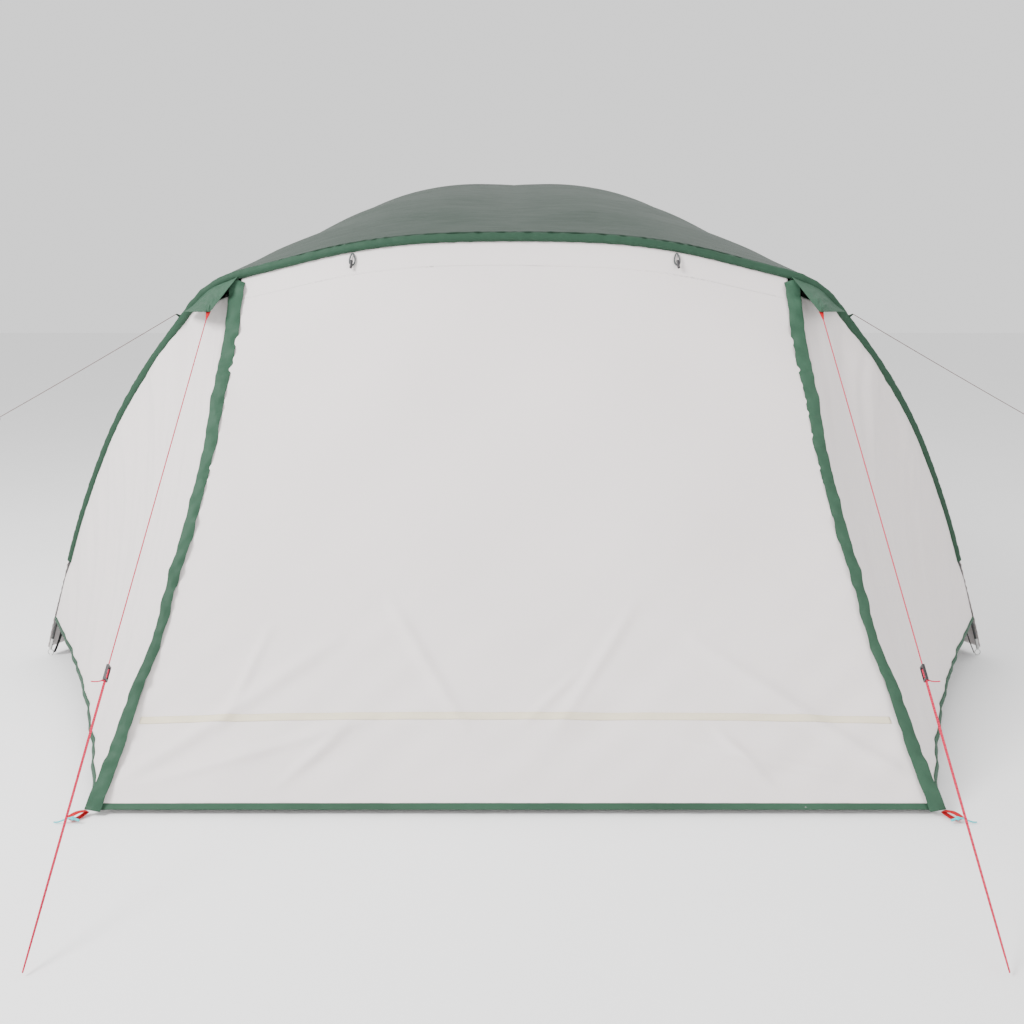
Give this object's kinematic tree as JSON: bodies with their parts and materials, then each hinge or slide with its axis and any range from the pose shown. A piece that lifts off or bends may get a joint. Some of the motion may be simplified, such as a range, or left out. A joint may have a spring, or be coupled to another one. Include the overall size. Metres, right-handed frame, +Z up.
{
  "type": "dome tent",
  "caption": "Dome tent on two crossing bent poles, with a leaning front hoop carrying a closed porch with a zipped door, storm flaps and guylines.",
  "frame": {"origin": "bottom centre of the tent's bounding box, without the guylines, on the ground", "axes": "+Z up, front door towards -Y, +X to the right seen from the front"},
  "size_m": [3.423, 4.2949, 1.7786],
  "materials": {
    "fibreglass": "black pultruded fibreglass, satin",
    "steel": "plated steel",
    "elastic_cord": "braided elastic",
    "green_cloth": "coated polyester, satin",
    "pale_cloth": "coated polyester, matt",
    "seam_tape": "sewn tape",
    "black_webbing": "woven webbing",
    "red_webbing": "woven webbing",
    "guy_cord": "braided cord",
    "runner_plastic": "moulded nylon",
    "grey_elastic": "woven elastic",
    "zip_nylon": "nylon coil",
    "zip_metal": "die-cast, painted",
    "cyan_cord": "braided cord",
    "groundsheet": "laminated polyethylene"
  },
  "bodies": {
    "tent": {"dome_pole_over_elastic_cord": "elastic_cord", "dome_pole_over_ferrules": "steel", "dome_pole_over_sections": "fibreglass", "dome_pole_under_elastic_cord": "elastic_cord", "dome_pole_under_ferrules": "steel", "dome_pole_under_sections": "fibreglass", "door_header": "pale_cloth", "door_hem": "green_cloth", "door_panel": "pale_cloth", "door_seam_tape": "seam_tape", "foot_ring_pins": "steel", "foot_webbing": "black_webbing", "groundsheet": "groundsheet", "guy_front_left": "guy_cord", "guy_front_right": "guy_cord", "guy_side_left": "guy_cord", "guy_side_right": "guy_cord", "guy_tabs": "red_webbing", "hoop_pole_elastic_cord": "elastic_cord", "hoop_pole_ferrules": "steel", "hoop_pole_sections": "fibreglass", "hoop_sleeve": "green_cloth", "loop_tails": "cyan_cord", "peg_loops": "red_webbing", "pole_ties": "black_webbing", "pole_tips": "steel", "porch_hem_left": "green_cloth", "porch_hem_right": "green_cloth", "porch_side_left": "pale_cloth", "porch_side_right": "pale_cloth", "roof_front_left": "green_cloth", "roof_front_right": "green_cloth", "roof_left": "green_cloth", "roof_rear": "green_cloth", "roof_right": "green_cloth", "side_guy_eyes": "guy_cord", "side_guy_tabs": "green_cloth", "storm_flap_left": "green_cloth", "storm_flap_right": "green_cloth", "visor_gusset_left": "green_cloth", "visor_gusset_right": "green_cloth", "wall_front_left": "pale_cloth", "wall_front_right": "pale_cloth", "wall_left": "pale_cloth", "wall_rear": "pale_cloth", "wall_right": "pale_cloth", "zip_coil_left": "zip_nylon", "zip_coil_right": "zip_nylon"},
    "zip_slider_left": {"zip_slider_left": "zip_metal"},
    "zip_slider_right": {"zip_slider_right": "zip_metal"},
    "runner_left": {"runner_left": "runner_plastic", "guy_tail_left": "guy_cord"},
    "runner_right": {"runner_right": "runner_plastic", "guy_tail_right": "guy_cord"},
    "toggle_left": {"toggle_left": "runner_plastic", "toggle_loop_left": "grey_elastic"},
    "toggle_right": {"toggle_right": "runner_plastic", "toggle_loop_right": "grey_elastic"}
  },
  "joints": [
    {"name": "zip_right", "type": "hinge", "parent": "tent", "child": "zip_slider_right", "pos_m": [6.60168, -0.94648, 1.45065], "axis": [0, 0.8655, -0.5009], "range_deg": [0, 13.4], "deforming": ["door_panel", "door_hem", "door_seam_tape"]},
    {"name": "zip_left", "type": "hinge", "parent": "tent", "child": "zip_slider_left", "pos_m": [-6.60168, -0.94648, 1.45065], "axis": [0, -0.8655, 0.5009], "range_deg": [0, 13.4]},
    {"name": "runner_right", "type": "slide", "parent": "tent", "child": "runner_right", "axis": [0.0332, -0.7344, -0.6779], "range_m": [0, 0.25]},
    {"name": "runner_left", "type": "slide", "parent": "tent", "child": "runner_left", "axis": [-0.0332, -0.7344, -0.6779], "range_m": [0, 0.25]},
    {"name": "toggle_right", "type": "hinge", "parent": "tent", "child": "toggle_right", "pos_m": [0.47427, -1.04987, 1.41527], "axis": [-1, 0, 0], "range_deg": [0, 100]},
    {"name": "toggle_left", "type": "hinge", "parent": "tent", "child": "toggle_left", "pos_m": [-0.47427, -1.04987, 1.41527], "axis": [-1, 0, 0], "range_deg": [0, 100]}
  ],
  "couplings": [
    {"joint": "zip_left", "follows": "zip_right", "ratio": 1}
  ]
}
